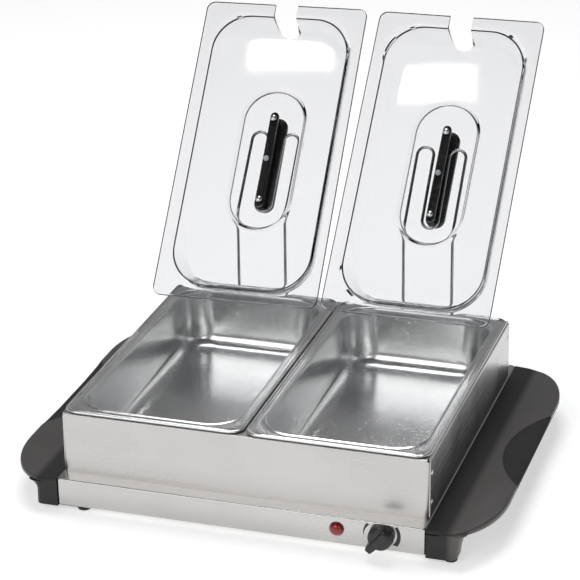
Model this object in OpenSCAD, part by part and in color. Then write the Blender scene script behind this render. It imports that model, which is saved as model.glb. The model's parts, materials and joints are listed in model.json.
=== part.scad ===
// Electric buffet server: a warming-tray base, a lift-off pan frame with two third-size pans,
// and two notched clear lids hung by their handles on plug-in wire racks behind the frame.
// Millimetres. +X is the user's right, +Y runs to the back, +Z is up.
// The origin is at the middle of the object's footprint box, on the surface it stands on.

/* [Pans] */
// Outer width of each pan, rim included
pan_width = 176; // [170:1:176]
// Outer length of each pan, rim included
pan_length = 325; // [318:1:325]
// Height of a pan, from the top of its rim to its bottom
pan_height = 63; // [40:1:63]
// Width of the flat flange round a pan's opening
pan_flange = 10.5; // [9:0.5:12]
// Corner radius of a pan's opening
pan_corner = 32; // [22:1:40]

/* [Warming tray] */
// Width of the steel tray
tray_width = 358; // [358:1:364]
// Depth of the steel tray, front to back
tray_depth = 370; // [366:1:376]
// Height of the tray's skirt
tray_height = 27; // [26:0.5:30]
// Height of the tray's top above the table
tray_top_z = 33.5; // [33.5:0.5:36]
// Ledge of the tray in front of the pan frame
front_ledge = 16.2; // [14:0.2:18]

/* [Pan frame] */
// Height of the frame that holds the pans over the tray
frame_height = 60.5; // [60.5:0.5:64]
// Thickness of the frame's and the tray's steel sheet
sheet = 1; // [0.8:0.1:1.2]

/* [End handles] */
// How far each moulded handle reaches out from the tray's side
handle_reach = 60; // [54:1:66]
// Width of the box-shaped part of a handle beside the tray
handle_box = 22; // [20:1:24]

/* [Lids] */
// Width of each clear lid
lid_width = 175; // [171:1:175]
// Length of each clear lid
lid_length = 325; // [320:1:325]
// How far a hung lid leans back from upright, in degrees
lid_lean = 39.7; // [38:0.1:41]
// How far the domed panel of a lid rises from its rim
lid_rise = 31; // [29:0.5:32]
// Width of the serving-spoon notch
notch_width = 27; // [20:1:32]
// Depth of the serving-spoon notch
notch_depth = 34.5; // [28:0.5:38]

/* [Lid racks] */
// Diameter of the rack wire
wire_dia = 3.2; // [3:0.1:3.3]
// Distance between the two legs of a rack
rack_legs = 51; // [48:1:54]

/* [Controls] */
// Diameter of the thermostat knob
knob_dia = 24; // [22:0.5:26]
// Diameter of the pilot lamp's lens
lens_dia = 14; // [13:0.5:15]

/* [Hidden] */
$fn = 48;
eps = 0.01;                 // overshoot of a cut past the face it opens

// Where things stand
frame_front_y = -211.6;     // front face of the pan frame
frame_top_z = tray_top_z + frame_height;
frame_width = 2 * pan_width + 4;
frame_depth = pan_length + 2.5;
frame_rear_y = frame_front_y + frame_depth;
tray_front_y = frame_front_y - front_ledge;
tray_mid_y = tray_front_y + tray_depth / 2;
tray_rear_y = tray_front_y + tray_depth;
tray_bottom_z = tray_top_z - tray_height;
tray_inside_z = tray_top_z - sheet;
tray_lip = 10;              // inward flange at the bottom of the tray's skirt
cover_floor_z = tray_bottom_z + sheet;
cover_top_z = cover_floor_z + sheet;

// Pans
pan_rim = 3.2;              // rim height above the frame
pan_x = pan_width / 2 + 1;  // centre of each pan from the middle
pan_mid_y = frame_front_y + frame_depth / 2;
pan_rim_corner = 13;
pan_draft = 8;              // how far the walls lean in on the way down
pan_fillet = 12;

// Lids, in a lid's own frame: X across, Y from the hung lower edge, Z out of the dome
lid_sheet = 3;
lid_edge = 12.5;            // flat flange round the domed panel
lid_panel_corner = 42;
lid_draft = 9;
lid_mid = lid_length / 2;
recess_width = 65;
recess_length = 150;
recess_depth = 6;
recess_floor = lid_rise - recess_depth;
lid_screw_pitch = 89.7;
// Hung lids: [x, y behind the frame's front, z above the frame's top], yaw, sway
left_lid_at = [-87.5, 235, 28.6];
right_lid_at = [89.4, 235.6, 30.6];
left_lid_turn = [-1.5, -1.8];
right_lid_turn = [-4.1, -1.7];

// Lid handles
bar_width = 8.7;
bar_height = 4.5;
grip_width = 20;
grip_low = 42.5;
grip_high = 51;
grip_length = 104;
web_width = 4.2;
web_length = 96;

// Lid racks
wire_r = wire_dia / 2;
rack_x = [-87.4, 90.3];     // middle of the left and the right rack
rack_y = frame_rear_y + 3.6;
rack_offset = 37.5;         // wire behind the hung lid's rim plane
rack_datum = [frame_front_y + 235, frame_top_z + 29];
bend_r = 18;
loop_r = 8.6;               // over-bends at the top of a rack
cradle_r = rack_legs / 2 - 2 * loop_r;
loop_top = 186.8;           // up the lean, centre of the over-bends
cradle_low = 117.3;         // up the lean, centre of the cradle's round bottom
socket_depth = 22;
socket_floor = 2;
socket_size = 8;

// Controls, in the plane of the tray's front
knob_x = 138.4;
lamp_x = 95.6;
control_z = 21.7;
knob_depth = 14;
pointer_angle = -40;        // from straight down, towards the left, at off
pointer_tip = 17.5;
shaft_r = 3;
shaft_flat = 2.2;
gland_x = 120;
gland_z = 20;
gland_bore_r = 3.6;

// Base, underneath and inside
foot_r = 6.5;
foot_in_y = 11.2;           // feet centres in from the tray's front and back
block_foot_x = 200;         // feet under the handles' blocks
lug_foot_x = 156.5;         // feet on the lugs under the tray
block_z = 4.5;              // bottom of the handles' end blocks
lug_z = 3.2;
element_r = 3.2;
element_z = 27.7;
element_runs = 6;
element_pitch = 45;
element_half = 125;
pin_end = element_half + 24;  // tips of the element's two pins
spreader_z = tray_inside_z - 1.5;
element_y = frame_front_y + 50;
lead_r = 1.1;
lead_z = 20;
terminal_y = frame_front_y + 314;
way_pitch = 11;
way_z = cover_top_z + 5;
fuse_x = 167;
handle_screw_y = [-118, 0, 118];
handle_screw_z = 20;

steel = [0.76, 0.76, 0.75];
steel_dark = [0.62, 0.62, 0.62];
black = [0.11, 0.105, 0.105];
clear = [0.86, 0.9, 0.95, 0.35];

// ---------- shared shapes ----------

module round_rect(w, d, r) {
  square([w - 2 * r, d], center = true);
  square([w, d - 2 * r], center = true);
  for (sx = [-1, 1], sy = [-1, 1])
    translate([sx * (w / 2 - r), sy * (d / 2 - r)]) circle(r);
}

module stadium(w, l) {
  square([w, l - w], center = true);
  for (s = [-1, 1]) translate([0, s * (l - w) / 2]) circle(w / 2);
}

// Points out of the tray's front panel: X stays, Y is up, Z comes forward
module on_front(x, z) translate([x, tray_front_y, z]) rotate([90, 0, 0]) children();

// A round-headed fastener standing on z = 0, its shank going down
module screw(head_r, head_h, shank_r, shank_h) {
  cylinder(r = head_r, h = head_h);
  translate([0, 0, -shank_h]) cylinder(r = shank_r, h = shank_h + eps);
}

function unit(v) = v / norm(v);

function way_x(way) = gland_x + (way - 1.5) * way_pitch;

// Round bar along a list of points: normals say which way each ring's first corner points
module sweep(points, normals, r, sides) {
  last = len(points) - 1;
  rings = [for (i = [0 : last]) let (
      along = unit(points[min(i + 1, last)] - points[max(i - 1, 0)]),
      across = unit(cross(along, normals[i])),
      outward = cross(across, along))
    for (k = [0 : sides - 1])
      points[i] + r * (cos(360 * k / sides) * outward + sin(360 * k / sides) * across)];
  walls = [for (i = [0 : last - 1], k = [0 : sides - 1], half = [0, 1])
    let (next = (k + 1) % sides)
    half == 0 ? [i * sides + k, (i + 1) * sides + k, (i + 1) * sides + next]
      : [i * sides + k, (i + 1) * sides + next, i * sides + next]];
  polyhedron(rings, concat(walls, [[for (k = [0 : sides - 1]) k]],
    [[for (k = [sides - 1 : -1 : 0]) last * sides + k]]), convexity = 6);
}

// Corners of a route rounded off, four points to each
function soften(route, reach) = let (last = len(route) - 1)
  concat([route[0]],
    [for (i = [1 : last - 1]) let (
        back = route[i - 1] - route[i],
        on = route[i + 1] - route[i],
        start = route[i] + unit(back) * min(reach, 0.45 * norm(back)),
        end = route[i] + unit(on) * min(reach, 0.45 * norm(on)))
      for (t = [0, 0.33, 0.67, 1])
        (1 - t) * (1 - t) * start + 2 * t * (1 - t) * route[i] + t * t * end],
    [route[last]]);

// A stiff lead along a route with soft corners
module lead(route) {
  points = soften(route, 8);
  last = len(points) - 1;
  normals = [for (i = [0 : last])
    cross(unit(points[min(i + 1, last)] - points[max(i - 1, 0)]), [0.1, 0.2, 1])];
  sweep(points, normals, lead_r, 8);
}

// ---------- warming tray ----------

module tray_shell() color(steel) difference() {
  translate([0, tray_mid_y, tray_bottom_z]) linear_extrude(tray_height)
    round_rect(tray_width, tray_depth, 3);
  translate([0, tray_mid_y, cover_floor_z]) linear_extrude(tray_height - 2 * sheet)
    round_rect(tray_width - 2 * sheet, tray_depth - 2 * sheet, 2);
  translate([0, tray_mid_y, tray_bottom_z - 1]) linear_extrude(sheet + 2)
    round_rect(tray_width - 2 * tray_lip, tray_depth - 2 * tray_lip, 6);
  on_front(knob_x, control_z) translate([0, 0, -3]) cylinder(r = 5.1, h = 6);
  on_front(lamp_x, control_z) translate([0, 0, -3]) cylinder(r = 5.2, h = 6);
  translate([gland_x, tray_rear_y + 3, gland_z]) rotate([90, 0, 0]) cylinder(r = 6.5, h = 6);
  for (side = [-1, 1], y = handle_screw_y)
    translate([side * (tray_width / 2 - 3), tray_mid_y + y, handle_screw_z])
      rotate([0, side * 90, 0]) cylinder(r = 2.2, h = 6);
  for (at = cover_screw_places()) translate([at[0], at[1], tray_bottom_z - 1])
    cylinder(r = 1.8, h = 3);
  for (at = lug_foot_places()) translate([at[0], at[1], tray_bottom_z - 1])
    cylinder(r = 2.1, h = 3);
}

function cover_screw_places() = [for (side = [-1, 1], row = [-100, 0, 100])
  [side * (tray_width / 2 - 6), tray_mid_y + row]];

function lug_foot_places() = [for (side = [-1, 1])
  [side * lug_foot_x, tray_mid_y + side * (tray_depth / 2 - foot_in_y)]];

function block_foot_places() = [for (side = [-1, 1])
  [side * block_foot_x, tray_mid_y - side * (tray_depth / 2 - foot_in_y)]];

module bottom_cover() color(steel_dark) {
  gap = 0.4;
  width = tray_width - 2 * (sheet + gap);
  depth = tray_depth - 2 * (sheet + gap);
  translate([0, tray_mid_y, cover_floor_z]) difference() {
    linear_extrude(4.4) round_rect(width, depth, 2);
    translate([0, 0, sheet]) linear_extrude(8)
      round_rect(width - 2 * sheet, depth - 2 * sheet, 1);
    for (at = cover_screw_places()) translate([at[0], at[1] - tray_mid_y, -1])
      cylinder(r = 1.5, h = 4);
    for (at = lug_foot_places()) translate([at[0], at[1] - tray_mid_y, -1])
      cylinder(r = 2.1, h = 4);
    // cooling slots
    for (row = [-2 : 2], side = [-1, 1])
      translate([side * 60, row * 14 - 120, -1]) rotate(90)
        linear_extrude(4) stadium(4, 70);
  }
}

module cover_screws() color(steel) for (at = cover_screw_places())
  translate([at[0], at[1], tray_bottom_z]) rotate([180, 0, 0]) screw(3, 1.6, 1.5, 6);

module heat_spreader() color([0.8, 0.81, 0.82])
  translate([0, frame_front_y + 178, spreader_z]) linear_extrude(1.5)
    round_rect(316, 296, 8);

function run_y(run) = element_y + run * element_pitch;

// Sheathed element bent to and fro under the spreader, both ends out on the right
module heating_element() color([0.3, 0.29, 0.28]) {
  pin_r = 1.2;
  sheath_end = element_half + 14;
  turn_r = element_pitch / 2;
  turns = [for (run = [0 : element_runs - 2], step = [0 : 8])
    let (side = run % 2 == 0 ? -1 : 1, angle = -90 + 22.5 * step)
    [side * (element_half + turn_r * cos(angle)), run_y(run) + turn_r * (1 + sin(angle)),
      element_z]];
  points = concat([[sheath_end, run_y(0), element_z]], turns,
    [[sheath_end, run_y(element_runs - 1), element_z]]);
  sweep(points, [for (point = points) [0, 0, 1]], element_r, 12);
  for (run = [0, element_runs - 1]) translate([sheath_end - 1, run_y(run), element_z])
    rotate([0, 90, 0]) cylinder(r = pin_r, h = pin_end - sheath_end + 1);
}

module element_clamps() color(steel_dark) for (x = [-85, 0, 85]) {
  length = (element_runs - 1) * element_pitch + 24;
  translate([x - 7, element_y - 12, element_z - element_r - 1.2]) {
    cube([14, length, 1]);
    for (end = [0, length - 1]) translate([0, end, 0])
      cube([14, 1, spreader_z - element_z + element_r + 1.2]);
  }
}

module insulation_pad() color([0.88, 0.86, 0.78])
  translate([0, frame_front_y + 165, cover_top_z]) linear_extrude(8) round_rect(300, 250, 4);

module terminal_block() color([0.9, 0.89, 0.85]) difference() {
  width = 4 * way_pitch + 4;
  translate([gland_x - width / 2, terminal_y - 8, cover_top_z]) cube([width, 16, 12]);
  for (way = [0 : 3]) translate([way_x(way), terminal_y + 9, way_z])
    rotate([90, 0, 0]) cylinder(r = 2, h = 18);
  for (way = [0 : 3], row = [-4, 4])
    translate([way_x(way), terminal_y + row, cover_top_z + 8]) cylinder(r = 1.6, h = 5);
}

module earth_screw() color([0.8, 0.65, 0.3])
  translate([70, terminal_y + 14, cover_top_z]) {
    cylinder(r = 3.4, h = 2.2);
    translate([0, 0, 2.2]) cylinder(r = 2, h = 4);
  }

module cord_gland() color(black)
  translate([gland_x, tray_rear_y, gland_z]) rotate([-90, 0, 0]) difference() {
    union() {
      cylinder(r = 8, h = 3);
      translate([0, 0, -6]) cylinder(r = 6.3, h = 7);
      translate([0, 0, -6]) cylinder(r = 7.4, h = 4.5);
    }
    translate([0, 0, -7]) cylinder(r = gland_bore_r, h = 12);
  }

// ---------- thermostat, knob and lamp ----------

module d_shape(r, flat) difference() {
  circle(r);
  translate([-r, flat]) square([2 * r, r]);
}

module thermostat_body() color([0.87, 0.85, 0.8]) on_front(knob_x, control_z) difference() {
  union() {
    translate([-13, -9.5, -24]) cube([26, 18, 22.5]);
    translate([0, 0, -2]) cylinder(r = 5, h = 6);
    translate([-10, -4, -30]) cube([6, 8, 6.5]);
    translate([4, -4, -30]) cube([6, 8, 6.5]);
  }
  translate([0, 0, -12]) cylinder(r = shaft_r + 0.06, h = 20);
}

module thermostat_nut() color(steel) on_front(knob_x, control_z) difference() {
  cylinder(r = 7, h = 2, $fn = 6);
  translate([0, 0, -1]) cylinder(r = 5, h = 4);
}

module thermostat_blade() color([0.75, 0.62, 0.4])
  translate([knob_x - 4, tray_front_y + 24, control_z + 7]) {
    cube([8, 9, 0.6]);
    translate([0, 8.4, 0]) cube([8, 0.6, spreader_z - control_z - 7]);
    translate([0, 8.4, spreader_z - control_z - 7.6]) cube([8, 24, 0.6]);
  }

module thermostat_shaft() color(steel) on_front(knob_x, control_z) {
  translate([0, 0, -11]) cylinder(r = shaft_r, h = 15.5);
  rotate(pointer_angle) translate([0, 0, 4.5 - eps]) linear_extrude(6.5)
    d_shape(shaft_r, shaft_flat);
}

module control_knob() color(black) on_front(knob_x, control_z) rotate(pointer_angle)
  difference() {
    union() {
      translate([0, 0, 1]) cylinder(r = knob_dia / 2, h = 4);
      translate([0, 0, 5 - eps]) cylinder(r1 = knob_dia / 2, r2 = knob_dia / 2 - 1.5, h = 6);
      translate([0, 0, 1]) linear_extrude(knob_depth - 2)
        polygon([[-3.6, 0], [-4.6, -knob_dia / 2 + 1], [-2.2, -pointer_tip],
          [2.2, -pointer_tip], [4.6, -knob_dia / 2 + 1], [3.6, 0]]);
      translate([0, 0, 10]) linear_extrude(knob_depth - 10) stadium(7.2, knob_dia - 2);
    }
    cylinder(r = 8.6, h = 4.6);
    translate([0, 0, 4]) linear_extrude(7) d_shape(shaft_r, shaft_flat);
  }

module pilot_lens() color([0.75, 0.05, 0.08]) on_front(lamp_x, control_z) {
  dome_r = 6.9;
  difference() {
    union() {
      cylinder(r = lens_dia / 2, h = 1);
      translate([0, 0, 1 - eps]) intersection() {
        translate([0, 0, 4 - dome_r]) sphere(dome_r);
        cylinder(r = lens_dia / 2, h = 5);
      }
      translate([0, 0, -8]) cylinder(r = 5, h = 8 + eps);
    }
    translate([0, 0, -9]) cylinder(r = 3.8, h = 10);
  }
}

module pilot_lamp() color([0.95, 0.6, 0.4]) on_front(lamp_x, control_z) {
  translate([0, 0, -13]) cylinder(r = 3, h = 10.6);
  translate([0, 0, -2.4]) sphere(2.9);
}

module pilot_retainer() color(steel) on_front(lamp_x, control_z) translate([0, 0, -2.2])
  difference() {
    cylinder(r = 7.5, h = 0.8);
    translate([0, 0, -1]) cylinder(r = 5, h = 3);
  }

// ---------- wiring ----------

terminal_face = terminal_y - 8;          // front face of the terminal block
switch_face = tray_front_y + 30.2;       // behind the thermostat's two tabs

// Mains way of the block, through the fuse, to the thermostat's right tab
module live_lead() color([0.5, 0.2, 0.1])
  lead([[way_x(1), terminal_face, way_z], [way_x(1), terminal_face - 9, lead_z],
    [fuse_x, terminal_face - 34, lead_z], [fuse_x, tray_front_y + 54, lead_z],
    [knob_x + 7, tray_front_y + 46, lead_z], [knob_x + 7, switch_face, 23.2]]);

// Thermostat's left tab to the element's front pin
module switched_lead() color([0.6, 0.3, 0.1])
  lead([[knob_x - 7, switch_face, 23.4], [knob_x - 7, tray_front_y + 50, 22],
    [pin_end + 9, tray_front_y + 58, 22], [pin_end + 9, element_y, element_z],
    [pin_end + 0.2, element_y, element_z]]);

module thermal_fuse() color([0.85, 0.85, 0.8]) difference() {
  translate([fuse_x, tray_mid_y - 20, lead_z]) rotate([90, 0, 0]) cylinder(r = 3.2, h = 30);
  translate([fuse_x, tray_mid_y - 19, lead_z]) rotate([90, 0, 0])
    cylinder(r = lead_r + 0.1, h = 32);
}

// Element's rear pin back to the block
module neutral_lead() color([0.1, 0.2, 0.6]) {
  end_y = element_y + (element_runs - 1) * element_pitch;
  lead([[way_x(2), terminal_face, way_z], [way_x(2), terminal_face - 7, lead_z],
    [pin_end + 9, end_y + 16, lead_z], [pin_end + 9, end_y, element_z],
    [pin_end + 0.2, end_y, element_z]]);
}

module earth_lead() color([0.2, 0.6, 0.2])
  lead([[way_x(3), terminal_y + 8, way_z], [way_x(3), terminal_y + 20, 18],
    [84, terminal_y + 22, 18], [70, terminal_y + 14, 16.2]]);

// Lamp to the thermostat's left tab, and lamp to its own way of the block
module lamp_leads() color([0.7, 0.7, 0.7]) {
  lead([[lamp_x + 1.8, tray_front_y + 13.2, control_z], [lamp_x + 1.8, tray_front_y + 38, 19],
    [knob_x - 7, tray_front_y + 41, 19], [knob_x - 7, switch_face, 19.2]]);
  lead([[lamp_x - 1.8, tray_front_y + 13.2, control_z], [lamp_x - 1.8, tray_front_y + 60, lead_z],
    [way_x(0), terminal_face - 12, lead_z], [way_x(0), terminal_face, way_z]]);
}

// ---------- end handles ----------

// Outline of the wing from above: straight lip, a quarter ellipse at each end
function wing_outline() = let (
    half = tray_depth / 2,
    start = 12,
    sweep = 79,
    steps = 20)
  concat([[0, -half]],
    [for (i = [0 : steps]) [start + (handle_reach - start) * sin(90 * i / steps),
      -half + sweep - sweep * cos(90 * i / steps)]],
    [for (i = [steps : -1 : 0]) [start + (handle_reach - start) * sin(90 * i / steps),
      half - sweep + sweep * cos(90 * i / steps)]],
    [[0, half]]);

// Section of the wing: a strip beside the tray, a soft valley, then the rising wing and lip
module wing_section() polygon([[0, -0.4], [18, -1.5], [handle_box, -1.9], [34, -1.2], [48, -0.7],
  [handle_reach - 3, -1], [handle_reach - 1, -1.8], [handle_reach, -3.2],
  [handle_reach, -6], [handle_reach - 2.6, -6], [handle_reach - 3.4, -4.6], [48, -3.9],
  [34, -4.4], [handle_box, -5.2], [0, -4.4]]);

module handle_box_plan(wall) intersection() {
  round_rect(2 * (handle_box - wall), tray_depth - 2 * wall, max(6 - wall, 1));
  translate([0, -tray_depth]) square([2 * handle_box, 2 * tray_depth]);
}

// One moulding serves both ends, turned half round about the tray's middle
module end_handle() {
  half = tray_depth / 2;
  pad = 28;
  difference() {
    union() {
      intersection() {
        translate([0, 0, tray_top_z - 10]) linear_extrude(12) polygon(wing_outline());
        translate([0, half, tray_top_z]) rotate([90, 0, 0]) linear_extrude(tray_depth)
          wing_section();
      }
      translate([0, 0, block_z]) linear_extrude(tray_top_z - 3 - block_z) difference() {
        handle_box_plan(0);
        handle_box_plan(3);
      }
      // block over the foot at the front end of the right handle
      translate([0, -half, block_z]) linear_extrude(tray_top_z - 4 - block_z) {
        square([pad - 8, 22]);
        translate([0, 8]) square([pad, 14]);
        translate([pad - 8, 8]) circle(8);
      }
      // lug under the tray at the other end, and the block over it
      translate([-(tray_width / 2 - lug_foot_x) - 8, half - foot_in_y - 6.5, lug_z])
        cube([tray_width / 2 - lug_foot_x + 8 + handle_box - 4, 13, tray_bottom_z - lug_z]);
      translate([0, half - 22, block_z]) cube([handle_box - 3, 21, 10]);
      // screw bosses
      for (y = handle_screw_y) translate([0, y - 6, handle_screw_z - 6])
        cube([14, 12, tray_top_z - 3 - handle_screw_z + 6]);
    }
    // thumb scoop on the lip
    translate([handle_reach - 29 + 120.7, 0, tray_top_z - 2.2]) cylinder(r = 120.7, h = 6);
    for (y = handle_screw_y) translate([-1, y, handle_screw_z]) rotate([0, 90, 0])
      cylinder(r = 2, h = 13);
    translate([block_foot_x - tray_width / 2, -half + foot_in_y, block_z - 1])
      cylinder(r = 1.9, h = 13);
    translate([lug_foot_x - tray_width / 2, half - foot_in_y, lug_z - 1])
      cylinder(r = 2.1, h = 6);
  }
}

module right_handle() color(black) translate([tray_width / 2, tray_mid_y, 0]) end_handle();

module left_handle() color(black) translate([-tray_width / 2, tray_mid_y, 0])
  rotate([0, 0, 180]) end_handle();

module handle_screws() color(steel) for (side = [-1, 1], y = handle_screw_y)
  translate([side * (tray_width / 2 - sheet), tray_mid_y + y, handle_screw_z])
    rotate([0, -side * 90, 0]) screw(3.8, 2.2, 2, 12);

module foot(height) difference() {
  cylinder(r = foot_r, h = height);
  translate([0, 0, -1]) cylinder(r = 4, h = 2.2);
  translate([0, 0, -1]) cylinder(r = 2.1, h = height + 2);
}

module front_left_foot() color(black) translate(concat(lug_foot_places()[0], [0])) foot(lug_z);
module rear_right_foot() color(black) translate(concat(lug_foot_places()[1], [0])) foot(lug_z);
module front_right_foot() color(black)
  translate(concat(block_foot_places()[1], [0])) foot(block_z);
module rear_left_foot() color(black)
  translate(concat(block_foot_places()[0], [0])) foot(block_z);

module foot_screws() color(steel) {
  for (at = lug_foot_places()) translate([at[0], at[1], 1.2]) rotate([180, 0, 0])
    screw(3.4, 0.8, 1.9, 8);
  for (at = block_foot_places()) translate([at[0], at[1], 1.2]) rotate([180, 0, 0])
    screw(3.4, 0.8, 1.9, 12);
}

// ---------- pan frame ----------

frame_tab = 14;             // front and rear panels' tabs behind the sides
frame_corner = 3;
frame_flange = 9;
side_start = 3.6;           // side panels start this far in from the front
rivet_z = [15, 45];
rivet_y = 9;

// Front panel seen from above, with its bent tabs: the rear panel is its mirror image
module panel_plan() intersection() {
  difference() {
    translate([0, frame_depth / 2])
      round_rect(frame_width - 2 * sheet - 0.4, frame_depth, frame_corner);
    translate([0, frame_depth / 2])
      round_rect(frame_width - 4 * sheet - 0.4, frame_depth - 2 * sheet, frame_corner - sheet);
  }
  translate([-frame_width, 0]) square([2 * frame_width, frame_tab]);
}

module end_panel() difference() {
  union() {
    linear_extrude(frame_height) panel_plan();
    inner = frame_width - 4 * sheet - 0.8;
    translate([-inner / 2, sheet / 2, frame_height - sheet]) cube([inner, frame_flange, sheet]);
    translate([-inner / 2, sheet / 2, 0]) cube([inner, 7, sheet]);
  }
  for (side = [-1, 1], z = rivet_z) translate([side * (frame_width / 2 - 4), rivet_y, z])
    rotate([0, side * 90, 0]) cylinder(r = 1.6, h = 8);
}

module frame_front() color(steel) translate([0, frame_front_y, tray_top_z]) end_panel();

module frame_rear() color(steel) translate([0, frame_rear_y, tray_top_z])
  rotate([0, 0, 180]) end_panel();

module side_panel() difference() {
  union() {
    translate([frame_width / 2 - sheet, side_start, 0])
      cube([sheet, frame_depth - 2 * side_start, frame_height]);
    for (z = [0, frame_height - sheet])
      translate([frame_width / 2 - frame_flange, frame_tab + 1, z])
        cube([frame_flange - eps, frame_depth - 2 * frame_tab - 2, sheet]);
  }
  for (y = [rivet_y, frame_depth - rivet_y], z = rivet_z)
    translate([frame_width / 2 - 4, y, z]) rotate([0, 90, 0]) cylinder(r = 1.6, h = 8);
}

module frame_right_side() color(steel) translate([0, frame_front_y, tray_top_z]) side_panel();

module frame_left_side() color(steel) translate([0, frame_front_y, tray_top_z])
  mirror([1, 0, 0]) side_panel();

module frame_rivets() color(steel) translate([0, frame_front_y, tray_top_z])
  for (side = [-1, 1], y = [rivet_y, frame_depth - rivet_y], z = rivet_z)
    translate([side * frame_width / 2, y, z]) rotate([0, side * 90, 0]) {
      cylinder(r1 = 2.6, r2 = 1.6, h = 0.9);
      translate([0, 0, -3.2]) cylinder(r = 1.6, h = 3.2 + eps);
      translate([0, 0, -3.2]) cylinder(r = 2.6, h = 0.9);
    }

// Bridge between the two pans, hooked under the front and rear flanges
module pan_divider() color(steel) translate([0, frame_front_y, tray_top_z]) {
  width = 17;
  drop = 14;
  translate([-width / 2, frame_flange + 1, frame_height - sheet])
    cube([width, frame_depth - 2 * frame_flange - 2, sheet]);
  for (side = [-1, 1])
    translate([side * (width / 2 - sheet / 2) - sheet / 2, frame_flange + 1,
        frame_height - drop])
      cube([sheet, frame_depth - 2 * frame_flange - 2, drop]);
  for (y = [2, frame_depth - frame_flange - 4])
    translate([-width / 2 + sheet, y, frame_height - 2 * sheet]) cube([width - 2 * sheet,
      frame_flange + 2, sheet]);
}

// Bracket behind the frame with two blind sockets for a rack's legs
module rack_socket(x) {
  plate = rack_legs + 18;
  translate([x, frame_rear_y, frame_top_z - 4]) {
    difference() {
      union() {
        translate([-plate / 2, 0, -socket_depth]) cube([plate, 1.5, socket_depth]);
        for (side = [-1, 1])
          translate([side * rack_legs / 2 - socket_size / 2, 0, -socket_depth])
            cube([socket_size, rack_y - frame_rear_y + 3.6, socket_depth]);
      }
      for (side = [-1, 1])
        translate([side * rack_legs / 2, rack_y - frame_rear_y, -socket_depth + socket_floor])
          cylinder(r = wire_r + 0.1, h = socket_depth);
      for (side = [-1, 1]) translate([side * 12, -1, -socket_depth / 2])
        rotate([-90, 0, 0]) cylinder(r = 1.6, h = 4);
    }
  }
}

module left_rack_socket() color(steel_dark) rack_socket(rack_x[0]);
module right_rack_socket() color(steel_dark) rack_socket(rack_x[1]);

module socket_rivets() color(steel) for (x = rack_x, side = [-1, 1])
  translate([x + side * 12, frame_rear_y + 1.5, frame_top_z - 4 - socket_depth / 2])
    rotate([-90, 0, 0]) {
      cylinder(r1 = 2.8, r2 = 1.8, h = 1);
      translate([0, 0, -1.5]) cylinder(r = 1.6, h = 1.5 + eps);
    }

// ---------- lid racks ----------

// A point up the lean (along) at a distance behind the hung lids' rim plane (out)
function lean_point(along, out) = [
  rack_datum[0] + along * sin(lid_lean) + out * cos(lid_lean),
  rack_datum[1] + along * cos(lid_lean) - out * sin(lid_lean)];

// One wire: up a leg, back along the lean, over, down to the cradle and up the other side.
// Each entry is a point of the wire and a direction square to it.
module lid_rack(x) {
  lean_out = [0, cos(lid_lean), -sin(lid_lean)];
  bend_along = (rack_y - rack_datum[0] - rack_offset * cos(lid_lean)) / sin(lid_lean);
  bend_z = lean_point(bend_along, rack_offset)[1] - bend_r * tan(lid_lean / 2);
  foot_z = frame_top_z - 4 - socket_depth + socket_floor;
  function on_lean(across, along) = concat([x + across], lean_point(along, rack_offset));
  function half_wire(side) = concat(
    [[[x + side * rack_legs / 2, rack_y, foot_z], [0, 1, 0]]],
    [for (i = [0 : 6]) let (turn = lid_lean * i / 6)
      [[x + side * rack_legs / 2, rack_y + bend_r * (1 - cos(turn)),
        bend_z + bend_r * sin(turn)], [0, cos(turn), -sin(turn)]]],
    [for (i = [0 : 10]) let (turn = 18 * i)
      [on_lean(side * (cradle_r + loop_r + loop_r * cos(turn)), loop_top + loop_r * sin(turn)),
        lean_out]]);
  cradle = [for (i = [0 : 10]) let (turn = 180 + 18 * i)
    [on_lean(cradle_r * cos(turn), cradle_low + cradle_r * sin(turn)), lean_out]];
  down = half_wire(1);
  wire = concat(half_wire(-1), cradle, [for (i = [len(down) - 1 : -1 : 0]) down[i]]);
  sweep([for (point = wire) point[0]], [for (point = wire) point[1]], wire_r, 14);
}

module left_lid_rack() color([0.75, 0.75, 0.76]) lid_rack(rack_x[0]);
module right_lid_rack() color([0.75, 0.75, 0.76]) lid_rack(rack_x[1]);

// ---------- pans ----------

module pan_slice(inset, z) translate([0, 0, z]) linear_extrude(0.02)
  round_rect(pan_width - 2 * (pan_flange + inset), pan_length - 2 * (pan_flange + inset),
    pan_corner - inset / 2, $fn = 48);

// Drafted well with a rounded foot, cut down by wall all round
module pan_well(wall) hull() {
  low = -pan_height + wall;
  pan_slice(wall, 0);
  pan_slice(wall + pan_draft * 0.8, low + pan_fillet);
  pan_slice(wall + pan_draft * 0.8 + 3, low + pan_fillet * 0.3);
  pan_slice(wall + pan_draft * 0.8 + 9, low);
}

module pan(x) translate([x, pan_mid_y, frame_top_z + pan_rim]) difference() {
  union() {
    translate([0, 0, -1]) linear_extrude(1) round_rect(pan_width, pan_length, pan_rim_corner);
    translate([0, 0, -pan_rim]) linear_extrude(pan_rim) difference() {
      round_rect(pan_width, pan_length, pan_rim_corner);
      round_rect(pan_width - 3, pan_length - 3, pan_rim_corner - 1.5);
    }
    pan_well(0);
  }
  translate([0, 0, 0.05]) pan_well(sheet);
}

module left_pan() color(steel) pan(-pan_x);
module right_pan() color(steel) pan(pan_x);

// ---------- lids ----------

// Stands a flat-lying lid up, leans it back and puts it where it hangs
module hang(at, turn) translate([at[0], frame_front_y + at[1], frame_top_z + at[2]])
  rotate([0, 0, turn[0]]) rotate([-lid_lean, 0, 0]) rotate([0, turn[1], 0])
    rotate([90, 0, 180]) children();

module panel_slice(inset, z) translate([0, lid_mid, z]) linear_extrude(0.02)
  round_rect(lid_width - 2 * (lid_edge + inset), lid_length - 2 * (lid_edge + inset),
    lid_panel_corner - inset / 2, $fn = 48);

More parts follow.
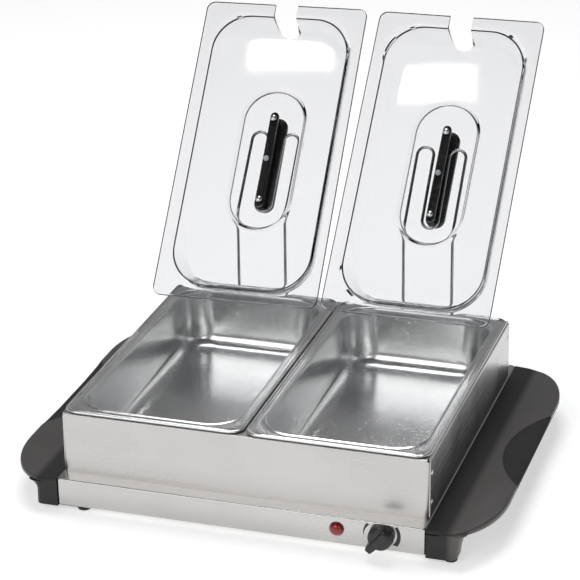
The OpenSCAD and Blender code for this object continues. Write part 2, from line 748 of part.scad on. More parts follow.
module lid_dome(wall) hull() {
  top = lid_rise - wall;
  panel_slice(wall, 0);
  panel_slice(wall + lid_draft * 0.75, top - 6);
  panel_slice(wall + lid_draft, top - 2);
  panel_slice(wall + lid_draft + 3, top - 0.02);
}

module lid() difference() {
  union() {
    difference() {
      union() {
        translate([0, lid_mid, 0]) linear_extrude(lid_sheet) round_rect(lid_width, lid_length, 9);
        lid_dome(0);
      }
      translate([0, 0, -0.05]) lid_dome(lid_sheet);
    }
    translate([0, lid_mid, recess_floor - lid_sheet])
      linear_extrude(recess_depth + lid_sheet - 0.5)
        stadium(recess_width + 2 * lid_sheet, recess_length + 2 * lid_sheet);
    translate([0, lid_mid, recess_floor - lid_sheet - 1]) cylinder(r = 3, h = 2);
  }
  translate([0, lid_mid, recess_floor]) linear_extrude(recess_depth + 2)
    stadium(recess_width, recess_length);
  translate([0, lid_length, -2]) {
    translate([0, -notch_depth + notch_width / 2, 0]) cylinder(r = notch_width / 2, h = 50);
    translate([-notch_width / 2, -notch_depth + notch_width / 2, 0])
      cube([notch_width, notch_depth, 50]);
  }
  for (side = [-1, 1]) translate([0, lid_mid + side * lid_screw_pitch / 2, 0])
    cylinder(r = 2.2, h = 40);
}

module left_lid() color(clear) hang(left_lid_at, left_lid_turn) lid();
module right_lid() color(clear) hang(right_lid_at, right_lid_turn) lid();

// Bar on the lid, web through the rack's cradle, grip behind the wires
module lid_handle() difference() {
  union() {
    translate([0, lid_mid, recess_floor]) linear_extrude(bar_height)
      stadium(bar_width, grip_length);
    translate([0, lid_mid + 1, recess_floor + bar_height - eps])
      linear_extrude(grip_low - recess_floor - bar_height + 1) stadium(web_width, web_length);
    translate([0, lid_mid, grip_low]) linear_extrude(grip_high - grip_low - 3)
      stadium(grip_width, grip_length);
    translate([0, lid_mid, grip_high - 3 - eps]) linear_extrude(1.6)
      stadium(grip_width - 2, grip_length - 2);
    translate([0, lid_mid, grip_high - 1.4 - 2 * eps]) linear_extrude(1.4)
      stadium(grip_width - 6, grip_length - 6);
  }
  for (side = [-1, 1]) translate([0, lid_mid + side * lid_screw_pitch / 2, recess_floor - 1])
    cylinder(r = 2, h = 15);
}

module left_lid_handle() color(black) hang(left_lid_at, left_lid_turn) lid_handle();
module right_lid_handle() color(black) hang(right_lid_at, right_lid_turn) lid_handle();

module lid_screws() for (side = [-1, 1])
  translate([0, lid_mid + side * lid_screw_pitch / 2, recess_floor - lid_sheet])
    rotate([180, 0, 0]) screw(3.4, 1.8, 2, 14);

module left_lid_screws() color(steel) hang(left_lid_at, left_lid_turn) lid_screws();
module right_lid_screws() color(steel) hang(right_lid_at, right_lid_turn) lid_screws();

tray_shell();
bottom_cover();
cover_screws();
heat_spreader();
heating_element();
element_clamps();
insulation_pad();
thermostat_body();
thermostat_nut();
thermostat_blade();
thermostat_shaft();
control_knob();
pilot_lens();
pilot_lamp();
pilot_retainer();
terminal_block();
thermal_fuse();
live_lead();
switched_lead();
neutral_lead();
earth_lead();
lamp_leads();
earth_screw();
cord_gland();
left_handle();
right_handle();
handle_screws();
front_left_foot();
front_right_foot();
rear_left_foot();
rear_right_foot();
foot_screws();
frame_front();
frame_rear();
frame_left_side();
frame_right_side();
frame_rivets();
pan_divider();
left_rack_socket();
right_rack_socket();
socket_rivets();
left_lid_rack();
right_lid_rack();
left_pan();
right_pan();
left_lid();
right_lid();
left_lid_handle();
right_lid_handle();
left_lid_screws();
right_lid_screws();
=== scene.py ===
import bpy
import bmesh
import json
import math
from mathutils import Matrix, Vector


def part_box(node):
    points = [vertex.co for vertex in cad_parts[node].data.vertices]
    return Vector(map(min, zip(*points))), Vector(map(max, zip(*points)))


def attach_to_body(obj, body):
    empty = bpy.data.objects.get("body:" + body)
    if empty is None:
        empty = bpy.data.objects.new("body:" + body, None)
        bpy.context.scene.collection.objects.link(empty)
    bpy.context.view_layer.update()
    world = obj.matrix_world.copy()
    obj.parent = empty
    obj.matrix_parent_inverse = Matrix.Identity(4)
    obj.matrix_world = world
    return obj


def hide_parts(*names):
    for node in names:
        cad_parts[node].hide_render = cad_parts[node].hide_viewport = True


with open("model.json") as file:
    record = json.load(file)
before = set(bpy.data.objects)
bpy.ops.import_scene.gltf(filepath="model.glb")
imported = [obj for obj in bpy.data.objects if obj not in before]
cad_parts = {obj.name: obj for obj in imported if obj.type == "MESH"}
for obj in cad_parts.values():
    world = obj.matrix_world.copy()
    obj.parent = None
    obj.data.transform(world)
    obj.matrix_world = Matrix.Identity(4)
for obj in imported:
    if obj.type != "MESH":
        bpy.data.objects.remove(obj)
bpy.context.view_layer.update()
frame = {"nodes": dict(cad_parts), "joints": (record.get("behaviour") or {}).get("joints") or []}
nodes = frame["nodes"]
MM = 0.001

# ---------------------------------------------------------------- materials


def start(name):
    """A material with one Principled shader: the material, its tree and the shader."""
    mat = bpy.data.materials.new(name)
    mat.use_nodes = True
    tree = mat.node_tree
    tree.nodes.clear()
    out = tree.nodes.new("ShaderNodeOutputMaterial")
    shader = tree.nodes.new("ShaderNodeBsdfPrincipled")
    tree.links.new(shader.outputs[0], out.inputs[0])
    return mat, tree, shader


def grain(tree, stretch, scale=1.0, detail=3.0, roughness=0.55):
    """Noise in the piece's own coordinates, in features per metre along x, y and z."""
    coords = tree.nodes.new("ShaderNodeTexCoord")
    mapping = tree.nodes.new("ShaderNodeMapping")
    mapping.inputs["Scale"].default_value = stretch
    noise = tree.nodes.new("ShaderNodeTexNoise")
    noise.inputs["Scale"].default_value = scale
    noise.inputs["Detail"].default_value = detail
    noise.inputs["Roughness"].default_value = roughness
    tree.links.new(coords.outputs["Object"], mapping.inputs["Vector"])
    tree.links.new(mapping.outputs[0], noise.inputs["Vector"])
    return noise.outputs["Fac"]


def spread(tree, value, low, high, start_at=0.3, stop_at=0.7):
    """Maps a noise value to low..high."""
    node = tree.nodes.new("ShaderNodeMapRange")
    node.inputs["From Min"].default_value = start_at
    node.inputs["From Max"].default_value = stop_at
    node.inputs["To Min"].default_value = low
    node.inputs["To Max"].default_value = high
    tree.links.new(value, node.inputs["Value"])
    return node.outputs[0]


def tint(tree, value, dark, light):
    """Colour between dark and light by a noise value."""
    node = tree.nodes.new("ShaderNodeMix")
    node.data_type = "RGBA"
    node.inputs["A"].default_value = (*dark, 1)
    node.inputs["B"].default_value = (*light, 1)
    tree.links.new(value, node.inputs["Factor"])
    return node.outputs["Result"]


def relief(tree, shader, value, strength, distance):
    """Bump from a noise value, with its depth in metres."""
    node = tree.nodes.new("ShaderNodeBump")
    node.inputs["Strength"].default_value = strength
    node.inputs["Distance"].default_value = distance
    tree.links.new(value, node.inputs["Height"])
    tree.links.new(node.outputs[0], shader.inputs["Normal"])


def metal(name, dark, light, rough, stretch, strength=0.12, blotch=12.0, depth=0.00004):
    """Metal with a fine grain drawn out along one axis and slow patches of polish."""
    mat, tree, shader = start(name)
    shader.inputs["Metallic"].default_value = 1.0
    fine = grain(tree, stretch, 1.0, 4.0, 0.6)
    slow = grain(tree, (blotch, blotch, blotch), 1.0, 2.0)
    tree.links.new(tint(tree, spread(tree, slow, 0, 1), dark, light), shader.inputs["Base Color"])
    both = tree.nodes.new("ShaderNodeMath")
    both.operation = "ADD"
    tree.links.new(spread(tree, fine, -0.04, 0.04), both.inputs[0])
    tree.links.new(spread(tree, slow, rough[0], rough[1]), both.inputs[1])
    tree.links.new(both.outputs[0], shader.inputs["Roughness"])
    relief(tree, shader, fine, strength, depth)
    return mat


def plastic(name, dark, light, rough, pebble=900.0, strength=0.25, coat=0.0, depth=0.00006):
    """Moulded plastic or rubber: fine pebble, slow changes of gloss and faint wear."""
    mat, tree, shader = start(name)
    fine = grain(tree, (pebble, pebble, pebble), 1.0, 3.0)
    slow = grain(tree, (22, 22, 22), 1.0, 3.0)
    tree.links.new(tint(tree, spread(tree, slow, 0, 1), dark, light), shader.inputs["Base Color"])
    tree.links.new(spread(tree, slow, rough[0], rough[1]), shader.inputs["Roughness"])
    shader.inputs["Coat Weight"].default_value = coat
    shader.inputs["Coat Roughness"].default_value = 0.2
    relief(tree, shader, fine, strength, depth)
    return mat


def handle_plastic(name, centre_x, centre_y, radius, strip_x):
    """Satin moulding with painted shade in the thumb scoop and on the strip by the tray: the
    colour is darkened there, and the roughness raised.
    """
    mat, tree, shader = start(name)
    fine = grain(tree, (900, 900, 900), 1.0, 3.0)
    slow = grain(tree, (22, 22, 22), 1.0, 3.0)
    coords = tree.nodes.new("ShaderNodeTexCoord")
    parts = tree.nodes.new("ShaderNodeSeparateXYZ")
    tree.links.new(coords.outputs["Object"], parts.inputs[0])

    def maths(operation, first, second=None):
        node = tree.nodes.new("ShaderNodeMath")
        node.operation = operation
        for at, value in enumerate((first, second)):
            if isinstance(value, float):
                node.inputs[at].default_value = value
            elif value is not None:
                tree.links.new(value, node.inputs[at])
        return node.outputs[0]

    out = maths("ABSOLUTE", parts.outputs["X"])
    dx = maths("SUBTRACT", out, centre_x)
    dy = maths("SUBTRACT", parts.outputs["Y"], centre_y)
    away = maths("SQRT", maths("ADD", maths("MULTIPLY", dx, dx), maths("MULTIPLY", dy, dy)))
    scoop = spread(tree, away, 1.0, 0.0, radius - 0.0012, radius + 0.0002)
    strip = spread(tree, out, 1.0, 0.0, strip_x - 0.004, strip_x + 0.003)
    # mask of the painted shade in the scoop and on the strip; it also makes them rougher
    painted_shade_and_dull = maths("MAXIMUM", scoop, maths("MULTIPLY", strip, 0.95))
    body = tint(tree, spread(tree, slow, 0, 1), (0.080, 0.074, 0.071), (0.094, 0.087, 0.083))
    # painted shade: near-black colour in the scoop and on the strip
    mix = tree.nodes.new("ShaderNodeMix")
    mix.data_type = "RGBA"
    mix.inputs["B"].default_value = (0.006, 0.0056, 0.0052, 1)
    tree.links.new(painted_shade_and_dull, mix.inputs["Factor"])
    tree.links.new(body, mix.inputs["A"])
    tree.links.new(mix.outputs["Result"], shader.inputs["Base Color"])
    satin = spread(tree, slow, 0.38, 0.44)
    added = maths("MULTIPLY", painted_shade_and_dull, 0.16)
    tree.links.new(maths("ADD", satin, added), shader.inputs["Roughness"])
    shader.inputs["Specular IOR Level"].default_value = 0.5
    relief(tree, shader, fine, 0.25, 0.00006)
    return mat


def clear(name, colour, rough, ior, density):
    """Clear moulding that lets lamps through to what is behind it."""
    mat, tree, shader = start(name)
    shader.inputs["Base Color"].default_value = (*colour, 1)
    shader.inputs["Transmission Weight"].default_value = 1.0
    shader.inputs["IOR"].default_value = ior
    slow = grain(tree, (30, 30, 30), 1.0, 3.0)
    tree.links.new(spread(tree, slow, rough[0], rough[1]), shader.inputs["Roughness"])
    relief(tree, shader, grain(tree, (9, 9, 9), 1.0, 1.0), 0.02, 0.001)
    out = next(n for n in tree.nodes if n.type == "OUTPUT_MATERIAL")
    inside = tree.nodes.new("ShaderNodeVolumeAbsorption")
    inside.inputs["Color"].default_value = (0.16, 0.2, 0.27, 1)
    inside.inputs["Density"].default_value = density
    tree.links.new(inside.outputs[0], out.inputs["Volume"])
    path = tree.nodes.new("ShaderNodeLightPath")
    through = tree.nodes.new("ShaderNodeBsdfTransparent")
    through.inputs[0].default_value = (0.9, 0.92, 0.93, 1)
    mix = tree.nodes.new("ShaderNodeMixShader")
    tree.links.new(path.outputs["Is Shadow Ray"], mix.inputs[0])
    tree.links.new(shader.outputs[0], mix.inputs[1])
    tree.links.new(through.outputs[0], mix.inputs[2])
    tree.links.new(mix.outputs[0], out.inputs[0])
    return mat


BRUSHED = metal("brushed_front", (0.55, 0.537, 0.525), (0.615, 0.602, 0.59), (0.27, 0.34),
                (7, 900, 1500), 0.06)
TRAY = metal("tray_steel", (0.53, 0.52, 0.51), (0.59, 0.58, 0.57), (0.20, 0.27),
             (7, 1100, 1500), 0.04)
POLISHED = metal("polished_side", (0.52, 0.52, 0.52), (0.59, 0.59, 0.59), (0.26, 0.32),
                 (900, 9, 1500), 0.03)
PAN = metal("pan_satin", (0.72, 0.725, 0.725), (0.80, 0.805, 0.805), (0.20, 0.25),
            (260, 260, 260), 0.012)
PLATED = metal("plated", (0.42, 0.42, 0.41), (0.55, 0.55, 0.53), (0.34, 0.46),
               (160, 160, 160), 0.15)
WIRE = metal("wire", (0.40, 0.40, 0.41), (0.55, 0.55, 0.56), (0.10, 0.16),
             (700, 700, 700), 0.05)
SCREW = metal("screw_steel", (0.50, 0.50, 0.50), (0.62, 0.62, 0.62), (0.16, 0.26),
              (900, 900, 900), 0.12)
RIVET = metal("rivet_steel", (0.80, 0.80, 0.80), (0.90, 0.90, 0.90), (0.34, 0.44),
              (900, 900, 900), 0.08)
ALUMINIUM = metal("aluminium", (0.68, 0.69, 0.70), (0.78, 0.79, 0.80), (0.30, 0.40),
                  (6, 500, 500), 0.10)
SHEATH = metal("oxidised_sheath", (0.10, 0.09, 0.085), (0.2, 0.18, 0.16), (0.45, 0.6),
               (400, 400, 400), 0.2)
BIMETAL = metal("bimetal", (0.55, 0.42, 0.22), (0.7, 0.56, 0.33), (0.25, 0.38),
                (60, 600, 600), 0.12)
BLACK = plastic("black_moulding", (0.014, 0.0135, 0.013), (0.021, 0.020, 0.019), (0.34, 0.42))
KNOB = plastic("knob_moulding", (0.012, 0.012, 0.012), (0.02, 0.02, 0.02), (0.3, 0.38), 1300)
GRIP = plastic("grip_moulding", (0.005, 0.005, 0.005), (0.009, 0.009, 0.009), (0.22, 0.3), 1300)
RUBBER = plastic("foot_rubber", (0.012, 0.012, 0.012), (0.022, 0.021, 0.02), (0.55, 0.7), 700,
                 0.4)
PRINT = plastic("printed_mark", (0.012, 0.012, 0.012), (0.02, 0.02, 0.02), (0.32, 0.4), 1500,
                0.1)
# painted highlight: light grey colour on the clear boss in each lid's recess, standing in for the
# highlights it shows over the black grip
GATE_HIGHLIGHT = plastic("gate_mark_painted_highlight", (0.34, 0.35, 0.37), (0.5, 0.51, 0.54), (0.1, 0.2), 900, 0.2, 0.5)
CERAMIC = plastic("ceramic", (0.62, 0.6, 0.53), (0.74, 0.72, 0.65), (0.45, 0.6), 600, 0.3)
MAT_WOOL = plastic("glass_mat", (0.6, 0.57, 0.46), (0.76, 0.73, 0.62), (0.8, 0.95), 350, 1.0,
                   0.0, 0.0006)
BROWN = plastic("brown_sleeve", (0.11, 0.04, 0.015), (0.16, 0.06, 0.025), (0.4, 0.55))
BLUE = plastic("blue_sleeve", (0.015, 0.06, 0.3), (0.03, 0.09, 0.4), (0.4, 0.55))
GREEN = plastic("green_sleeve", (0.02, 0.2, 0.03), (0.05, 0.3, 0.06), (0.4, 0.55))
GREY = plastic("grey_sleeve", (0.3, 0.3, 0.3), (0.42, 0.42, 0.42), (0.5, 0.65))
CLEAR = clear("clear_lid", (0.835, 0.838, 0.846), (0.015, 0.035), 1.27, 12.0)
# painted shade: darker tints for the lids' fold line and for their rim and notch, standing in for
# the dark lines that refraction draws there
FOLD_SHADE = clear("clear_lid_painted_fold_shade", (0.78, 0.79, 0.84), (0.0, 0.02), 1.27, 12.0)
EDGE_SHADE = clear("clear_lid_painted_edge_shade", (0.42, 0.44, 0.51), (0.0, 0.02), 1.27, 12.0)
BULB = clear("lamp_glass", (1.0, 0.7, 0.5), (0.02, 0.08), 1.45, 5.0)
LENS = plastic("red_lens", (0.11, 0.0, 0.001), (0.27, 0.0, 0.003), (0.06, 0.1), 420, 0.8, 0.6,
               0.0002)

# ---------------------------------------------------------------- shapes


class Shape:
    """Vertices and faces collected from lofts, all in millimetres until it is built."""

    def __init__(self):
        self.points, self.faces = [], []

    def loft(self, loops, first=True, last=True, closed=True):
        """Skin over loops of equal length, with a cap on the first and the last."""
        base, count = len(self.points), len(loops[0])
        for loop in loops:
            self.points += [Vector(p) for p in loop]
        for i in range(len(loops) - 1):
            for k in range(count if closed else count - 1):
                a, b = base + i * count + k, base + i * count + (k + 1) % count
                self.faces.append((a, b, b + count, a + count))
        if first:
            self.faces.append(tuple(base + k for k in reversed(range(count))))
        if last:
            top = base + (len(loops) - 1) * count
            self.faces.append(tuple(top + k for k in range(count)))
        return self

    def moved(self, matrix):
        self.points = [matrix @ p for p in self.points]
        return self

    def join(self, other):
        base = len(self.points)
        self.points += other.points
        self.faces += [tuple(base + k for k in face) for face in other.faces]
        return self


def rounded(width, depth, radius, z, steps=10, at=(0, 0)):
    """Closed loop round a rectangle with round corners."""
    radius = max(min(radius, width / 2 - 0.001, depth / 2 - 0.001), 0.01)
    loop = []
    for corner, (sx, sy) in enumerate(((1, 1), (-1, 1), (-1, -1), (1, -1))):
        for i in range(steps + 1):
            angle = math.pi / 2 * (corner + i / steps)
            loop.append((at[0] + sx * (width / 2 - radius) + radius * math.cos(angle),
                         at[1] + sy * (depth / 2 - radius) + radius * math.sin(angle), z))
    return loop


def ring(radius, z, sides):
    """Circle about Z."""
    turns = [2 * math.pi * k / sides for k in range(sides)]
    return [(radius * math.cos(turn), radius * math.sin(turn), z) for turn in turns]


def quarter(x, y, radius, start_deg, z):
    """Quarter circle about (x, y), anticlockwise from an angle in degrees."""
    turns = [math.radians(start_deg + 90 * i / 8) for i in range(9)]
    return [(x + radius * math.cos(turn), y + radius * math.sin(turn), z) for turn in turns]


def turned(profile, sides=40, first=True, last=True):
    """Lathe work about Z from (radius, height) pairs."""
    return Shape().loft([ring(r, z, sides) for r, z in profile], first, last)


def tube(points, radius, sides=16):
    """Round bar along points, with no twist."""
    points = [Vector(p) for p in points]
    side = None
    loops = []
    for i, p in enumerate(points):
        along = (points[min(i + 1, len(points) - 1)] - points[max(i - 1, 0)]).normalized()
        if side is None:
            side = along.orthogonal().normalized()
        side = (side - along * side.dot(along)).normalized()
        up = along.cross(side)
        loops.append([p + radius * (math.cos(2 * math.pi * k / sides) * side
                                    + math.sin(2 * math.pi * k / sides) * up)
                      for k in range(sides)])
    return Shape().loft(loops)


def block(low, high, radius=0.6):
    """Box with rounded upright edges and softened top and bottom edges."""
    size = [h - l for l, h in zip(low, high)]
    at = ((low[0] + high[0]) / 2, (low[1] + high[1]) / 2)
    soft = min(radius, size[2] / 3)
    loops = []
    for inset, z in ((soft, low[2]), (soft * 0.3, low[2] + soft * 0.3), (0, low[2] + soft),
                     (0, high[2] - soft), (soft * 0.3, high[2] - soft * 0.3), (soft, high[2])):
        loops.append(rounded(size[0] - 2 * inset, size[1] - 2 * inset, radius, z, 5, at))
    return Shape().loft(loops)


def build(name, shape, material, body, replaces=(), sharp=32):
    """Turns a shape in millimetres into a piece that rides on a body."""
    mesh = bpy.data.meshes.new(name)
    mesh.from_pydata([tuple(p * MM) for p in shape.points], [], shape.faces)
    made = bmesh.new()
    made.from_mesh(mesh)
    bmesh.ops.remove_doubles(made, verts=made.verts, dist=1e-6)
    bmesh.ops.recalc_face_normals(made, faces=made.faces)
    made.to_mesh(mesh)
    made.free()
    finish_mesh(mesh, material, sharp)
    obj = bpy.data.objects.new(name, mesh)
    bpy.context.scene.collection.objects.link(obj)
    return attach(obj, body, replaces)


def finish_mesh(mesh, material, sharp):
    """Smooth faces with sharp edges from an angle in degrees on, and one material."""
    mesh.polygons.foreach_set("use_smooth", [True] * len(mesh.polygons))
    mesh.set_sharp_from_angle(angle=math.radians(sharp))
    if material is not None:
        mesh.materials.clear()
        mesh.materials.append(material)
    mesh.update()


def attach(obj, body, replaces):
    """Lets a piece ride on its body and take over CAD nodes."""
    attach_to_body(obj, body)
    if replaces:
        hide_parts(*replaces)
    return obj


def cut(obj, shape):
    """Takes a shape away from a piece and keeps the piece's own name and body."""
    cutter_mesh = bpy.data.meshes.new("cutter")
    cutter_mesh.from_pydata([tuple(p * MM) for p in shape.points], [], shape.faces)
    made = bmesh.new()
    made.from_mesh(cutter_mesh)
    bmesh.ops.recalc_face_normals(made, faces=made.faces)
    made.to_mesh(cutter_mesh)
    made.free()
    cutter = bpy.data.objects.new("cutter", cutter_mesh)
    bpy.context.scene.collection.objects.link(cutter)
    change = obj.modifiers.new("cut", "BOOLEAN")
    change.operation = "DIFFERENCE"
    change.solver = "EXACT"
    change.object = cutter
    bpy.context.view_layer.update()
    result = bpy.data.meshes.new_from_object(
        obj.evaluated_get(bpy.context.evaluated_depsgraph_get()))
    obj.modifiers.clear()
    obj.data = result
    bpy.data.objects.remove(cutter)


def box_mm(node):
    """Lowest and highest corner of a CAD node in millimetres."""
    low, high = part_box(node)
    return low * 1000, high * 1000


# ---------------------------------------------------------------- warming tray

tray_low, tray_high = box_mm("tray_shell")
tray_size = tray_high - tray_low
tray_mid = (tray_low + tray_high) / 2
tray_at = (tray_mid.x, tray_mid.y)


def tray_loop(inset, z, radius):
    """Loop round the tray, set in from its outline."""
    return rounded(tray_size.x - 2 * inset, tray_size.y - 2 * inset, radius, z, 8, tray_at)


outside = [tray_loop(10, tray_low.z, 2), tray_loop(0.9, tray_low.z, 2.4),
           tray_loop(0.3, tray_low.z + 0.3, 2.8), tray_loop(0, tray_low.z + 0.9, 3)]
for i in range(7):
    turn = math.pi / 2 * i / 6
    outside.append(tray_loop(1.6 * (1 - math.cos(turn)),
                             tray_high.z - 1.6 + 1.6 * math.sin(turn), 3))
inside = [tray_loop(1.2, tray_high.z - 1.0, 2), tray_loop(1.0, tray_low.z + 1, 2),
          tray_loop(10, tray_low.z + 1, 2)]
shell = Shape().loft(outside, False, True)
shell.loft(inside, False, False)
shell.loft([tray_loop(10, tray_low.z + 1, 2), tray_loop(10, tray_low.z, 2)], False, False)
shell.loft([tray_loop(1.2, tray_high.z - 1.0, 2), tray_loop(6, tray_high.z - 1.0, 2)],
           False, True)
build("tray_body", shell, TRAY, "base", ["tray_shell"])

# ---------------------------------------------------------------- pan frame

front_low, front_high = box_mm("frame_front")
rear_low, rear_high = box_mm("frame_rear")
side_low, side_high = box_mm("frame_right_side")


def sheet_shape(rows, thickness):
    """Folded sheet metal: a grid of points on the outside, and the same set in by thickness."""
    count = len(rows[0])
    grid = [[Vector(p) for p in row] for row in rows]
    inner = []
    for i, row in enumerate(grid):
        back = []
        for k, p in enumerate(row):
            across = grid[min(i + 1, len(grid) - 1)][k] - grid[max(i - 1, 0)][k]
            along = row[min(k + 1, count - 1)] - row[max(k - 1, 0)]
            normal = across.cross(along)
            back.append(p + normal.normalized() * thickness if normal.length else p)
        inner.append(back)
    shape = Shape()
    shape.loft(grid, False, False, False)
    shape.loft([list(reversed(row)) for row in inner], False, False, False)
    shape.loft([grid[0], inner[0]], False, False, False)
    shape.loft([grid[-1], inner[-1]], False, False, False)
    shape.loft([[row[0] for row in grid], [row[0] for row in inner]], False, False, False)
    shape.loft([[row[-1] for row in grid], [row[-1] for row in inner]], False, False, False)
    return shape


def end_sheet():
    """Front panel with a folded top flange and a tab bent back at each side, from outside."""
    half = front_high.x
    y = front_low.y
    bottom, top = front_low.z, front_high.z
    bend, corner = 1.3, 3.0
    columns = []
    for side in (-1, 1):
        line = []
        for back in (14, 9, 5, corner):
            line.append((side * half, y + back, min(3.2, 1.6 + 0.18 * back)))
        for i in range(1, 7):
            turn = math.pi / 2 * i / 6
            line.append((side * (half - corner + corner * math.cos(turn)),
                         y + corner - corner * math.sin(turn), 2.0 * (1 - i / 6) ** 1.6))
        line.append((side * (half - corner - 1.5), y, 0.0))
        if side > 0:
            line.reverse()
            columns += [(x, y, 0.0) for x in (-half / 2, 0, half / 2)]
        columns += line
    shape = Shape()
    heights = [0, 0.02, 0.25, 0.5, 0.75, 0.9, 0.98, 1]
    rows = [[(x, yy, bottom + (top - bend - drop - bottom) * h) for x, yy, drop in columns]
            for h in heights]
    shape.join(sheet_shape(rows, 1.0))
    inner = (-half + 1.2, -half + corner + 1.5, -half / 2, 0, half / 2, half - corner - 1.5,
             half - 1.2)
    flange = []
    for i in range(7):
        turn = math.pi / 2 * i / 6
        flange.append([(x, y + bend * (1 - math.cos(turn)), top - bend + bend * math.sin(turn))
                       for x in inner])
    flange.append([(x, y + 9.5, top) for x in inner])
    shape.join(sheet_shape(flange, 1.0))
    return shape


def turned_about(shape, low, high):
    """The same piece turned half round about the middle of the frame."""
    mid = (low + high) / 2
    half_turn = (Matrix.Translation((mid.x, mid.y, 0)) @ Matrix.Rotation(math.pi, 4, "Z")
                 @ Matrix.Translation((-mid.x, -mid.y, 0)))
    return shape.moved(half_turn)


frame_low = Vector((side_high.x * -1, front_low.y, front_low.z))
frame_high = Vector((side_high.x, rear_high.y, rear_high.z))
build("frame_front_sheet", end_sheet(), BRUSHED, "pan_frame", ["frame_front"])
build("frame_rear_sheet", turned_about(end_sheet(), frame_low, frame_high), BRUSHED,
      "pan_frame", ["frame_rear"])


def side_sheet():
    """Right side panel with round corners and a flange folded in at its top."""
    x = side_high.x
    y0, y1 = side_low.y, side_high.y
    bottom, top = side_low.z, side_high.z
    bend = 1.2
    stations = [0, 0.4, 1.0, 2.0, 30, 90, 163, 230, y1 - y0 - 30, y1 - y0 - 2.0,
                y1 - y0 - 1.0, y1 - y0 - 0.4, y1 - y0]
    rows = []
    for h in (0, 0.04, 0.3, 0.6, 0.94, 1):
        row = []
        for s in stations:
            edge = min(s, y1 - y0 - s)
            drop = 2.0 - math.sqrt(max(0.0, 4.0 - (2.0 - min(edge, 2.0)) ** 2))
            row.append((x, y0 + s, bottom + drop + (top - bend - bottom - 2 * drop) * h))
        rows.append(row)
    for i in range(1, 7):
        turn = math.pi / 2 * i / 6
        rows.append([(x - bend * (1 - math.cos(turn)), y0 + s,
                      p[2] + bend * math.sin(turn)) for s, p in zip(stations, rows[5])])
    flange = []
    for s, p in zip(stations, rows[-1]):
        reach = 8.8 if 14 < s < y1 - y0 - 14 else 1.4
        flange.append((x - reach, y0 + s, p[2]))
    rows.append(flange)
    return sheet_shape(rows, 1.0)


build("frame_right_sheet", side_sheet(), POLISHED, "pan_frame", ["frame_right_side"])
build("frame_left_sheet", turned_about(side_sheet(), frame_low, frame_high), POLISHED,
      "pan_frame", ["frame_left_side"])

rivets = Shape()
dome = [(0.01, 1.0), (0.8, 0.95), (1.6, 0.75), (2.3, 0.4), (2.6, 0.05), (2.6, -0.2),
        (1.6, -0.25), (1.6, -3.0), (0.01, -3.0)]
for side in (-1, 1):
    for y in (front_low.y + 9, rear_high.y - 9):
        for z in (15, 45):
            spot = Matrix.Translation((side * side_high.x, y, front_low.z + z))
            rivets.join(turned(dome, 24)
                        .moved(spot @ Matrix.Rotation(side * math.pi / 2, 4, "Y")))
build("side_rivets", rivets, RIVET, "pan_frame", ["frame_rivets"])

# ---------------------------------------------------------------- pans


def pan_shape(node):
    """Drawn pan: rolled rim, two steps, leaning wall, wide bend and floor."""
    low, high = box_mm(node)
    mid = (low + high) / 2
    width, length = high.x - low.x, high.y - low.y
    top, bottom = high.z, low.z
    depth = top - bottom
    profile = []
    for angle in range(-90, 91, 20):
        turn = math.radians(angle)
        profile.append((1.3 - 1.3 * math.cos(turn), -1.3 + 1.3 * math.sin(turn), 13))
    profile += [(2.0, -0.3, 12), (2.7, -1.1, 12), (3.4, -1.45, 12), (4.2, -1.2, 13),
                (4.8, -0.95, 15), (6.2, -0.9, 20), (7.4, -0.9, 26), (8.3, -0.85, 30),
                (8.9, -0.6, 31.5), (9.5, -0.15, 32), (10.1, 0.0, 32), (10.7, -0.2, 32),
                (11.2, -0.9, 32), (11.6, -2.0, 32), (12.0, -4.5, 32)]
    wall_end, wall_low = 16.8, depth - 18.5
    for s in (0.3, 0.65, 1.0):
        profile.append((12.0 + (wall_end - 12.0) * s, -4.5 + (-wall_low + 4.5) * s, 31))
    for i in range(1, 13):
        turn = math.pi / 2 * i / 12
        profile.append((wall_end + 17 * (1 - math.cos(turn)) + 4 * (i / 12) ** 3,
                        -wall_low - 16.3 * math.sin(turn), 31 - 13 * i / 12))
    floor = -(depth - 1.0)
    profile += [(42, floor + 0.8, 15), (48, floor + 0.45, 13), (56, floor + 0.2, 11),
                (66, floor + 0.06, 9), (76, floor, 6)]
    loops = [rounded(width - 2 * inset, length - 2 * inset, radius, top + z, 12,
                     (mid.x, mid.y)) for inset, z, radius in profile]
    under = [(60, 0), (31, 0), (24, 1.2), (19, 4), (16.5, 8), (15.9, 14), (13.2, 35),
             (11.0, depth - 5), (10.4, depth - 2.2), (9.0, depth - 1.7), (3.2, depth - 1.9),
             (2.6, depth - 3.0), (1.6, depth - 3.2)]
    back = [rounded(width - 2 * inset, length - 2 * inset,
                    14 + 18 * min(1, z / 20) if inset > 5 else 12, bottom + z, 12,
                    (mid.x, mid.y)) for inset, z in under]
    shape = Shape()
    shape.loft(loops, False, True)
    shape.loft(back, True, False)
    return shape


for side in ("left", "right"):
    build(side + "_pan_drawn", pan_shape(side + "_pan"), PAN, side + "_pan_body",
          [side + "_pan"], 60)

# ---------------------------------------------------------------- lids and their handles

LEAN = math.radians(39.7)  # lids and racks lean back from the upright
